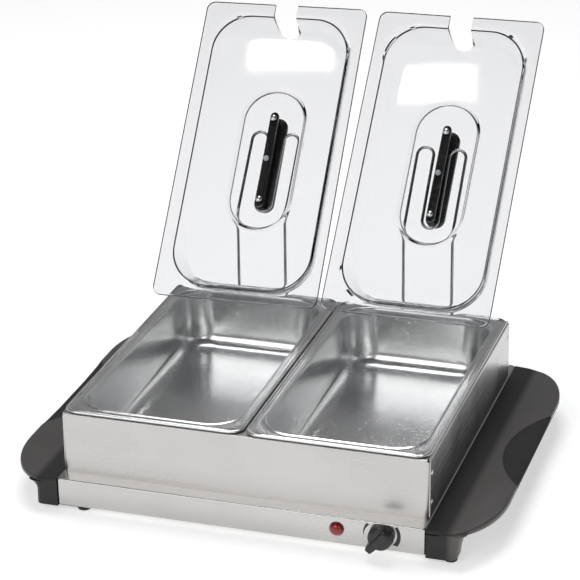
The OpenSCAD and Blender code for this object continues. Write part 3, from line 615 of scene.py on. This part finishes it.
# each lid's place: x, y behind the frame's front, z above its top; then yaw and sway in degrees
HUNG = {"left": ((-87.5, 235.0, 28.6), -1.5, -1.8), "right": ((89.4, 235.6, 30.6), -4.1, -1.7)}
LID_WIDTH, LID_LENGTH, LID_RISE = 175.0, 325.0, 31.0
LID_SHEET, LID_CORNER = 3.0, 9.0
RECESS_WIDTH, RECESS_LENGTH, RECESS_FLOOR = 65, 150, 25.0
NOTCH_DEPTH, NOTCH_HALF = 26.5, 12.4
ROUND_END = 200  # more than any half width, so that a rounded loop becomes a stadium
EDGE_SHADE_AT, FOLD_SHADE_AT = 1, 2  # a lid's material indices after its clear one: the painted edge shade, then the painted fold shade


def hang(side):
    at, yaw, sway = HUNG[side]
    return (Matrix.Translation((at[0], front_low.y + at[1], front_high.z + at[2]))
            @ Matrix.Rotation(math.radians(yaw), 4, "Z") @ Matrix.Rotation(-LEAN, 4, "X")
            @ Matrix.Rotation(math.radians(sway), 4, "Y")
            @ Matrix.Rotation(math.pi, 4, "Z") @ Matrix.Rotation(math.pi / 2, 4, "X"))


def lid_loop(inset, z, radius):
    return rounded(LID_WIDTH - 2 * inset, LID_LENGTH - 2 * inset, radius, z, 14,
                   (0, LID_LENGTH / 2))


def recess_loop(grow, z):
    return rounded(RECESS_WIDTH + 2 * grow, RECESS_LENGTH + 2 * grow, ROUND_END, z, 14,
                   (0, LID_LENGTH / 2))


def lid_shape():
    """One clear moulding: flat rim, raised panel, and a sunk stadium for the handle."""
    outer = [(0.5, 0.0, 8.6), (0.15, 0.3, 8.9), (0, 0.8, 9), (0, 2.2, 9), (0.15, 2.7, 8.9),
             (0.5, 3.0, 8.6), (1.4, 3.0, 10), (8.8, 3.0, 34), (9.6, 3.0, 36),
             (11.2, 3.4, 40), (12.3, 4.4, 42)]
    outer += [(12.9 + 0.28 * (z - 5.5), z, 42) for z in (5.5, 10, 15, 20, 23.5)]
    outer += [(18.5, 26.4, 41), (19.8, 28.6, 40), (21.8, 30.2, 38),
              (23.3, 30.8, 36.5), (24.2, 31.0, 36), (25.4, 31.0, 35)]
    loops = [lid_loop(*p) for p in outer]
    sunk = [(3.4, 31.0), (2.2, 31.0), (1.2, 30.8), (0.5, 30.2), (0.1, 29.0), (0, 27.0),
            (-0.3, 25.8), (-1.0, 25.2), (-2, 25.0), (-3.2, 25.0)]
    loops += [recess_loop(*p) for p in sunk]
    inner = [(0.5, 0.0, 8.6), (1.4, 0.0, 10), (11.6, 0.0, 37.5), (12.6, 0.0, 38.5),
             (13.8, 0.2, 39), (14.9, 1.0, 39)]
    inner += [(15.4 + 0.28 * (z - 2.5), z, 39) for z in (2.5, 8, 14, 19)]
    inner += [(20.7, 23.2, 38), (21.8, 25.6, 37), (23.6, 27.3, 35), (26.0, 28.0, 33),
              (27.2, 28.0, 32)]
    back = [lid_loop(*p) for p in inner]
    sunk_back = [(6.8, 28.0), (5.6, 28.0), (4.4, 27.7), (3.6, 26.8), (3.2, 25.2), (3.0, 23.4),
                 (2.6, 22.6), (1.8, 22.1), (0.8, 22.0), (-0.4, 22.0)]
    back += [recess_loop(*p) for p in sunk_back]
    shape = Shape()
    shape.loft(loops, False, True)
    shape.loft(back, False, True)
    return shape


def notch_shape():
    """Prism that cuts the serving-spoon notch."""
    half, end = NOTCH_HALF, LID_LENGTH - NOTCH_DEPTH + NOTCH_HALF
    loops = []
    for z in (-4.0, 40.0):
        loop = [(half, LID_LENGTH + 4, z), (-half, LID_LENGTH + 4, z)]
        for i in range(25):
            turn = math.pi * (1 + i / 24)
            loop.append((half * math.cos(turn), end + half * math.sin(turn), z))
        loops.append(loop)
    return Shape().loft(loops)


def paint_edge_shade(mesh, to_lid):
    """Paints shade on a lid: a darker tone on the flange's rim and the notch, and a dark line at
    the panel's foot, standing in for the lines that refraction draws there.
    """
    mesh.materials.append(EDGE_SHADE)
    mesh.materials.append(FOLD_SHADE)
    for face in mesh.polygons:
        spot = to_lid @ (face.center * 1000)
        facing = to_lid.to_3x3() @ face.normal
        rim = min(LID_WIDTH / 2 - abs(spot.x), spot.y, LID_LENGTH - spot.y)
        corner = math.hypot(max(0, abs(spot.x) - LID_WIDTH / 2 + LID_CORNER),
                            max(0, abs(spot.y - LID_LENGTH / 2) - LID_LENGTH / 2 + LID_CORNER))
        on_rim = spot.z < LID_SHEET + 0.05 and (rim < 0.6 or corner > LID_CORNER - 0.5)
        on_notch = (abs(facing.z) < 0.2 and abs(spot.x) < NOTCH_HALF + 1.3
                    and spot.y > LID_LENGTH - NOTCH_DEPTH - 8.5)
        on_fold = (3.9 < spot.z < 4.9 and rim > 10) or (0.55 < spot.z < 1.5 and rim > 12)
        if on_rim or on_notch:
            face.material_index = EDGE_SHADE_AT
        elif on_fold:
            face.material_index = FOLD_SHADE_AT


def stadium_stack(width, length, layers):
    """Stadium-shaped bar from (inset, height) layers."""
    return Shape().loft([rounded(width - 2 * inset, length - 2 * inset, ROUND_END, z,
                                 10, (0, LID_LENGTH / 2)) for inset, z in layers])


for side in ("left", "right"):
    place = hang(side)
    body = side + "_lid_body"
    lid = build(side + "_lid_clear", lid_shape().moved(place), CLEAR, body, [side + "_lid"],
                50)
    cut(lid, notch_shape().moved(place))
    finish_mesh(lid.data, CLEAR, 50)
    paint_edge_shade(lid.data, place.inverted())
    boss = turned([(0.01, -1.6), (1.0, -1.5), (2.0, -1.1), (2.7, -0.3), (3.0, 0.6), (3.0, 1.4),
                   (0.01, 1.4)], 32)
    boss.moved(place @ Matrix.Translation((0, LID_LENGTH / 2, RECESS_FLOOR - 3.5)))
    # the boss carries a painted highlight in its colour
    build(side + "_lid_boss", boss, GATE_HIGHLIGHT, body, (), 50)
    grip = stadium_stack(8.7, 104, [(0.5, 25.0), (0, 25.5), (0, 28.8), (0.7, 29.5)])
    grip.join(stadium_stack(4.2, 96, [(0, 28.5), (0.3, 30), (0.4, 40), (0, 42.8)]))
    grip.join(stadium_stack(20, 104, [(1.2, 42.5), (0.35, 42.9), (0, 43.8), (0, 46.8),
                                      (0.4, 48.3), (1.3, 49.6), (2.6, 50.5), (4.2, 50.95),
                                      (5.0, 51.0)]))
    grip.moved(place)
    build(side + "_lid_grip", grip, GRIP, body, [side + "_lid_handle"], 40)
    heads = Shape()
    for along in (-44.85, 44.85):
        head = turned([(0.01, 1.9), (1.1, 1.8), (2.2, 1.45), (3.0, 0.9), (3.4, 0.2), (3.4, 0),
                       (0.01, 0)], 28)
        slot_bar = block((-2.6, -0.35, 1.45), (2.6, 0.35, 1.95), 0.1)
        head.join(slot_bar)
        head.moved(Matrix.Translation((0, LID_LENGTH / 2 + along, RECESS_FLOOR - 3))
                   @ Matrix.Rotation(math.pi, 4, "X") @ Matrix.Rotation(0.6, 4, "Z"))
        heads.join(head)
    build(side + "_lid_screw_heads", heads.moved(place), SCREW, body, [side + "_lid_screws"])

# ---------------------------------------------------------------- lid racks

RACK_X = {"left": -87.4, "right": 90.3}
rack_y = rear_high.y + 3.6
datum = (front_low.y + 235, front_high.z + 29)
WIRE_R = 1.58
OFFSET, BEND, LOOP, LEGS = 37.5, 18.0, 8.6, 51.0
CRADLE = LEGS / 2 - 2 * LOOP
LOOPS_ALONG, CRADLE_ALONG = 186.8, 117.3  # up the lean from the lids' lower edge


def on_lean(x, along):
    return (x, datum[0] + along * math.sin(LEAN) + OFFSET * math.cos(LEAN),
            datum[1] + along * math.cos(LEAN) - OFFSET * math.sin(LEAN))


def rack_points(x):
    bend_along = (rack_y - datum[0] - OFFSET * math.cos(LEAN)) / math.sin(LEAN)
    bend_z = on_lean(x, bend_along)[2] - BEND * math.tan(LEAN / 2)

    def half(side):
        line = [(x + side * LEGS / 2, rack_y, front_high.z - 24),
                (x + side * LEGS / 2, rack_y, front_high.z + 20)]
        for i in range(9):
            turn = LEAN * i / 8
            line.append((x + side * LEGS / 2, rack_y + BEND * (1 - math.cos(turn)),
                         bend_z + BEND * math.sin(turn)))
        for i in range(17):
            turn = math.pi * i / 16
            line.append(on_lean(x + side * (CRADLE + LOOP + LOOP * math.cos(turn)),
                                LOOPS_ALONG + LOOP * math.sin(turn)))
        return line

    cradle = [on_lean(x + CRADLE * math.cos(math.pi * (1 + i / 16)),
                      CRADLE_ALONG + CRADLE * math.sin(math.pi * (1 + i / 16)))
              for i in range(17)]
    return half(-1) + cradle + list(reversed(half(1)))


for side in ("left", "right"):
    build(side + "_rack_wire", tube(rack_points(RACK_X[side]), WIRE_R, 18), WIRE,
          side + "_rack", [side + "_lid_rack"], 60)

# ---------------------------------------------------------------- end handles

REACH, STRIP, START, SWEEP = 60.0, 22.0, 12.0, 79.0
SCOOP_R, SCOOP_IN = 120.7, 29  # the scoop's arc, and how far it comes in from the wing's edge
SCOOP_X = REACH - SCOOP_IN + SCOOP_R
CLEAR_OF_SCOOP = 200
half_depth = tray_size.y / 2


def wing_section(x):
    knots = [(-9, -0.2), (0, -0.4), (16, -1.6), (21, -2.2), (24, -2.2), (30, -1.7), (40, -1.0),
             (50, -0.6), (60, -0.6), (70, -0.6)]
    for (xa, za), (xb, zb) in zip(knots, knots[1:]):
        if x <= xb:
            return za + (zb - za) * (x - xa) / (xb - xa)
    return knots[-1][1]


def wing_height(x, y):
    """Top of the wing below the tray's top: strip, soft valley, then up to the lip."""
    z = sum(wing_section(x + step) for step in (-3.2, -1.6, 0, 1.6, 3.2)) / 5
    into = SCOOP_R - math.hypot(x - SCOOP_X, y)
    if into > 0:
        z -= 2.6 * (1 - math.exp(-into / 1.3)) * (0.35 + 0.65 * min(1.0, into / 24))
    return z


def wing_shape():
    columns = [0, 0.1, 0.2, 0.27] + [0.3 + 0.7 * i / 42 for i in range(43)]
    edge = [(START * c, -half_depth, 0.0, -1.0) for c in columns]
    steps = 34
    for i in range(1, steps + 1):
        turn = math.pi / 2 * i / steps
        x = START + (REACH - START) * math.sin(turn)
        y = -half_depth + SWEEP - SWEEP * math.cos(turn)
        nx, ny = math.sin(turn) / (REACH - START), -math.cos(turn) / SWEEP
        size = math.hypot(nx, ny)
        edge.append((x, y, nx / size, ny / size))
    straight = 190
    span = half_depth - SWEEP
    for i in range(1, straight):
        edge.append((REACH, -span + 2 * span * i / straight, 1.0, 0.0))
    edge += [(x, -y, nx, -ny) for x, y, nx, ny in reversed(edge[:len(columns) + steps])]

    def offset(inset, drop, top):
        loop = []
        for x, y, nx, ny in edge:
            px, py = x - nx * inset, y - ny * inset
            z = wing_height(min(max(px, 0), REACH), py) if top else -0.8
            loop.append((px, py, z + drop))
        return loop

    shape = Shape()
    lip = [offset(3.4, -4.2, False), offset(2.8, -5.2, False), offset(1.6, -5.4, False),
           offset(0.5, -5.2, False), offset(0.0, -4.4, False), offset(0.0, -2.0, True),
           offset(0.25, -0.9, True), offset(0.9, -0.2, True), offset(1.8, 0.0, True),
           offset(3.0, 0.0, True)]
    shape.loft(lip, False, False, False)
    first = len(columns) - 1
    body = edge[first:len(edge) - first]
    for top in (True, False):
        rows = []
        for x, y, nx, ny in body:
            inset = 3.0 if top else 3.4
            px, py = x - nx * inset, y - ny * inset
            row = []
            for c in columns:
                z = (wing_height(px * c, py) if top
                     else wing_height(px * c, CLEAR_OF_SCOOP) - 3.6)
                if not top and c == 1.0:
                    z = -5.0
                row.append((px * c, py, z))
            rows.append(row)
        shape.loft(rows, False, False, False)
    return shape


def end_handle():
    """Handle in its own frame: x out from the tray's side, y along it, z above the table."""
    shape = Shape()
    wing = wing_shape()
    wing.moved(Matrix.Translation((0, 0, tray_high.z)))
    shape.join(wing)
    under = tray_high.z - 4.0
    outer = [(0.0, 4.5), (0.0, 20.0), (0.9, 22.5), (2.6, 25.0), (5.0, 27.0), (8.0, 28.2)]
    loops = []
    for grow, z in outer:
        width = STRIP + grow
        loop = [(0.0, half_depth, z), (0.0, -half_depth + 0.4, z)]
        loop += quarter(width - 6, -half_depth + 6.4, 6, -90, z)
        loop += quarter(width - 6, half_depth - 6, 6, 0, z)
        loops.append(loop)
    shape.loft(loops, False, False)
    walls = []
    for z in (4.5, 26.0):
        width = STRIP - 3
        loop = [(3.0, half_depth - 3, z), (3.0, -half_depth + 3, z)]
        loop += quarter(width - 3, -half_depth + 6, 3, -90, z)
        loop += quarter(width - 3, half_depth - 6, 3, 0, z)
        walls.append(loop)
    shape.loft(walls, False, True)
    shape.loft([loops[0], walls[0]], False, False)
    pad = []
    for grow, z in ((0, 4.5), (0, 4.51), (0.7, 12), (2.2, 20), (4.0, 25), (6.2, 28.2),
                    (9, under)):
        width, back = 28 + grow, 22 + 2.4 * grow
        loop = [(0.0, -half_depth + back, z), (0.0, -half_depth, z)]
        loop += quarter(width - 8, -half_depth + 8, 8, -90, z)
        loop += quarter(width - 3, -half_depth + back - 3, 3, 0, z)
        pad.append(loop)
    shape.loft(pad)
    foot_y = half_depth - 11.2
    shape.join(block((-30.5, foot_y - 6.5, 3.2), (18, foot_y + 6.5, tray_low.z - 0.05), 1.2))
    shape.join(block((1.0, half_depth - 22, 4.5), (19, half_depth - 1, 14.5), 1.0))
    return shape


HANDLE = handle_plastic("handle_moulding", (tray_high.x + SCOOP_X) * MM,
                        tray_mid.y * MM, SCOOP_R * MM, (tray_high.x + STRIP) * MM)
right_place = Matrix.Translation((tray_high.x, tray_mid.y, 0))
left_place = Matrix.Translation((tray_low.x, tray_mid.y, 0)) @ Matrix.Rotation(math.pi, 4, "Z")
for side, place in (("right", right_place), ("left", left_place)):
    build(side + "_handle_moulding", end_handle().moved(place), HANDLE, "base",
          [side + "_handle"], 42)

# ---------------------------------------------------------------- feet

for name in ("front_left_foot", "front_right_foot", "rear_left_foot", "rear_right_foot"):
    low, high = box_mm(name)
    mid = (low + high) / 2
    tall = high.z
    foot = turned([(4.0, 1.1), (4.0, 0.3), (4.2, 0.0), (5.3, 0.0), (5.9, 0.25), (6.2, 0.8),
                   (6.5, tall - 0.4), (6.4, tall), (2.1, tall), (2.1, 1.15)], 36, False, False)
    foot.loft([ring(2.1, 1.15, 36), ring(4.0, 1.1, 36)], False, False)
    foot.moved(Matrix.Translation((mid.x, mid.y, 0)))
    build(name + "_pad", foot, RUBBER, "base", [name], 50)

# ---------------------------------------------------------------- knob, mark and lamp

hinge = next(j for j in frame["joints"] if j["name"] == "knob_turn")
knob_x, face_y, knob_z = [v * 1000 for v in hinge["pos_m"]]
out_of_front = Matrix.Translation((knob_x, face_y, knob_z)) @ Matrix.Rotation(
    math.pi / 2, 4, "X")
POINTER_TURN = Matrix.Rotation(math.radians(-40), 4, "Z")

knob = turned([(8.6, 1.0), (11.4, 1.0), (11.85, 1.2), (12.0, 1.7), (12.0, 4.2), (11.9, 5.2),
               (11.7, 6.6), (11.4, 8.4), (11.0, 9.8), (10.1, 10.9), (8.2, 11.6), (4.0, 11.8),
               (0.01, 11.9)], 56, False, True)
knob.loft([ring(8.6, z, 56) for z in (1.0, 3.6)], False, True)


def ridge_loop(scale, z, tip):
    """Outline of the pointer ridge: round at the back, drawn out to a blunt beak."""
    loop = []
    for i in range(13):
        turn = math.pi * i / 12
        loop.append((4.0 * scale * math.cos(turn), 6.6 + 4.0 * scale * math.sin(turn), z))
    loop += [(-3.9 * scale, 0, z), (-4.3 * scale, -8, z), (-4.1 * scale, -12, z),
             (-3.4 * scale, -tip + 0.8, z), (-2.6 * scale, -tip, z), (2.6 * scale, -tip, z),
             (3.4 * scale, -tip + 0.8, z), (4.1 * scale, -12, z), (4.3 * scale, -8, z),
             (3.9 * scale, 0, z)]
    return loop


knob.loft([ridge_loop(1.15, 1.2, 17.2), ridge_loop(1.1, 5.0, 17.4), ridge_loop(1.0, 9.5, 17.2),
           ridge_loop(0.95, 12.0, 16.8), ridge_loop(0.84, 13.3, 16.2), ridge_loop(0.6, 13.95, 15),
           ridge_loop(0.35, 14.0, 14)])
build("knob_cap", knob.moved(out_of_front @ POINTER_TURN), KNOB, "knob", ["control_knob"],
      38)


def arc_mark(outer, thick, start_deg, stop_deg, low, top):
    """Printed crescent on the panel, thick at its start or stop, cut level above and below."""
    rows = []
    for i in range(41):
        turn = math.radians(start_deg + (stop_deg - start_deg) * i / 40)
        inner = outer - (thick[0] + (thick[1] - thick[0]) * i / 40)
        rows.append([(r * math.cos(turn), max(low, min(r * math.sin(turn), top)), h)
                     for r, h in ((inner, 0.02), (inner, 0.08), (outer, 0.08), (outer, 0.02))])
    return Shape().loft(rows)


marks = arc_mark(17.6, (4.4, 2.8), -42, 36, -9.5, 10.2)
marks.join(arc_mark(17.8, (3.0, 0.3), 143, 188, -9.5, 10.2))
build("knob_marks", marks.moved(out_of_front), PRINT, "base", ())

lens_low, lens_high = box_mm("pilot_lens")
lens_x, lens_z = (lens_low.x + lens_high.x) / 2, (lens_low.z + lens_high.z) / 2
lens = turned([(4.6, -8.0), (5.0, -7.8), (5.0, 0.0), (6.7, 0.0), (7.0, 0.3), (7.0, 0.9),
               (6.7, 1.3), (6.3, 1.9), (5.7, 2.7), (4.9, 3.5), (3.9, 4.15), (2.7, 4.65),
               (1.4, 4.93), (0.01, 5.0)], 48)
lens.moved(Matrix.Translation((lens_x, face_y, lens_z)) @ Matrix.Rotation(math.pi / 2, 4, "X"))
build("lamp_dome", lens, LENS, "base", ["pilot_lens"], 50)

# ---------------------------------------------------------------- CAD nodes shown as they are

AS_IS = {
    PLATED: ("bottom_cover", "element_clamps", "pilot_retainer", "left_rack_socket",
             "right_rack_socket"),
    SCREW: ("cover_screws", "thermostat_nut", "thermostat_shaft", "handle_screws",
            "foot_screws", "socket_rivets"),
    ALUMINIUM: ("heat_spreader",), SHEATH: ("heating_element",),
    MAT_WOOL: ("insulation_pad",), BIMETAL: ("thermostat_blade", "earth_screw"),
    CERAMIC: ("thermostat_body", "terminal_block", "thermal_fuse"), BULB: ("pilot_lamp",),
    BROWN: ("live_lead", "switched_lead"), BLUE: ("neutral_lead",), GREEN: ("earth_lead",),
    GREY: ("lamp_leads",), BLACK: ("cord_gland",), POLISHED: ("pan_divider",),
}
for material, names in AS_IS.items():
    for name in names:
        for slot_at in nodes[name].material_slots:
            slot_at.material = material

# ---------------------------------------------------------------- floor, light and camera

floor_mat, floor_tree, floor_shader = start("floor")
floor_shader.inputs["Roughness"].default_value = 0.9
floor_shader.inputs["Specular IOR Level"].default_value = 0.1
floor_shader.inputs["Emission Color"].default_value = (1, 1, 1, 1)
floor_shader.inputs["Emission Strength"].default_value = 0.53
floor_tone = grain(floor_tree, (1.5, 1.5, 1.5), 1.0, 2.0)
floor_tree.links.new(tint(floor_tree, floor_tone, (0.87, 0.87, 0.87), (0.9, 0.9, 0.9)),
                     floor_shader.inputs["Base Color"])
floor_mesh = bpy.data.meshes.new("floor")
FLOOR = 9.0
floor_mesh.from_pydata([(-FLOOR, -FLOOR, 0), (FLOOR, -FLOOR, 0), (FLOOR, FLOOR, 0),
                        (-FLOOR, FLOOR, 0)], [], [(0, 1, 2, 3)])
floor_mesh.materials.append(floor_mat)
floor = bpy.data.objects.new("floor", floor_mesh)
bpy.context.scene.collection.objects.link(floor)

world = bpy.data.worlds.new("studio")
world.use_nodes = True
bpy.context.scene.world = world
sky = world.node_tree
background = next(n for n in sky.nodes if n.type == "BACKGROUND")
direction = sky.nodes.new("ShaderNodeTexCoord")
parts = sky.nodes.new("ShaderNodeSeparateXYZ")
sky.links.new(direction.outputs["Generated"], parts.inputs[0])
ramp = sky.nodes.new("ShaderNodeValToRGB")
ramp.color_ramp.elements[0].position = 0.0
ramp.color_ramp.elements[0].color = (0.8, 0.8, 0.81, 1)
ramp.color_ramp.elements[1].position = 0.75
ramp.color_ramp.elements[1].color = (0.12, 0.12, 0.125, 1)
sky.links.new(parts.outputs["Z"], ramp.inputs[0])
sky.links.new(ramp.outputs[0], background.inputs[0])
background.inputs[1].default_value = 0.55


def softbox(name, at, target, width, height, power, across=None):
    """Rectangular lamp aimed at target, its width along across where that is given."""
    data = bpy.data.lights.new(name, "AREA")
    data.shape = "RECTANGLE"
    data.size, data.size_y = width, height
    data.energy = power
    lamp = bpy.data.objects.new(name, data)
    bpy.context.scene.collection.objects.link(lamp)
    lamp.location = at
    away = (Vector(at) - Vector(target)).normalized()
    if across is None:
        lamp.rotation_euler = away.to_track_quat("Z", "Y").to_euler()
    else:
        side = (Vector(across) - away * away.dot(Vector(across))).normalized()
        lamp.rotation_euler = Matrix((side, away.cross(side), away)).transposed().to_euler()


softbox("overhead", (-0.3, 0.7, 2.3), (0, 0.1, 0), 1.3, 1.0, 24)
softbox("front_left", (-0.9, -2.7, 1.9), (0, 0.1, 0.1), 2.2, 2.0, 28)
softbox("front_right", (1.9, -2.6, 1.9), (0, 0, 0.1), 1.2, 0.9, 6)
# far away, so that it shows as one patch on each lid
KEY_AT, KEY_ACROSS = (-9.85, -13.16, 25.29), (0.932, -0.119, 0.343)
softbox("key", KEY_AT, (0.0, 0.2, 0.3), 1.15, 0.50, 30, KEY_ACROSS)

scene = bpy.context.scene
scene.view_settings.view_transform = "Standard"
camera_data = bpy.data.cameras.new("camera")
camera = bpy.data.objects.new("camera", camera_data)
scene.collection.objects.link(camera)
camera_data.sensor_width = 36.0
camera_data.lens = 149.5142
azimuth, elevation, roll = math.radians(17.757), math.radians(22.758), math.radians(-0.705)
forward = Vector((-math.sin(azimuth) * math.cos(elevation),
                  math.cos(azimuth) * math.cos(elevation), -math.sin(elevation)))
flat_right = Vector((math.cos(azimuth), math.sin(azimuth), 0))
flat_up = flat_right.cross(forward)
right = math.cos(roll) * flat_right + math.sin(roll) * flat_up
up = -math.sin(roll) * flat_right + math.cos(roll) * flat_up
place = Matrix((right, up, -forward)).transposed().to_4x4()
EYE = Vector((648.4, front_low.y - 1872.6, front_high.z + 976.1))
place.translation = EYE * MM
camera.matrix_world = place
camera_data.clip_start = 0.05
camera_data.clip_end = 60
scene.camera = camera
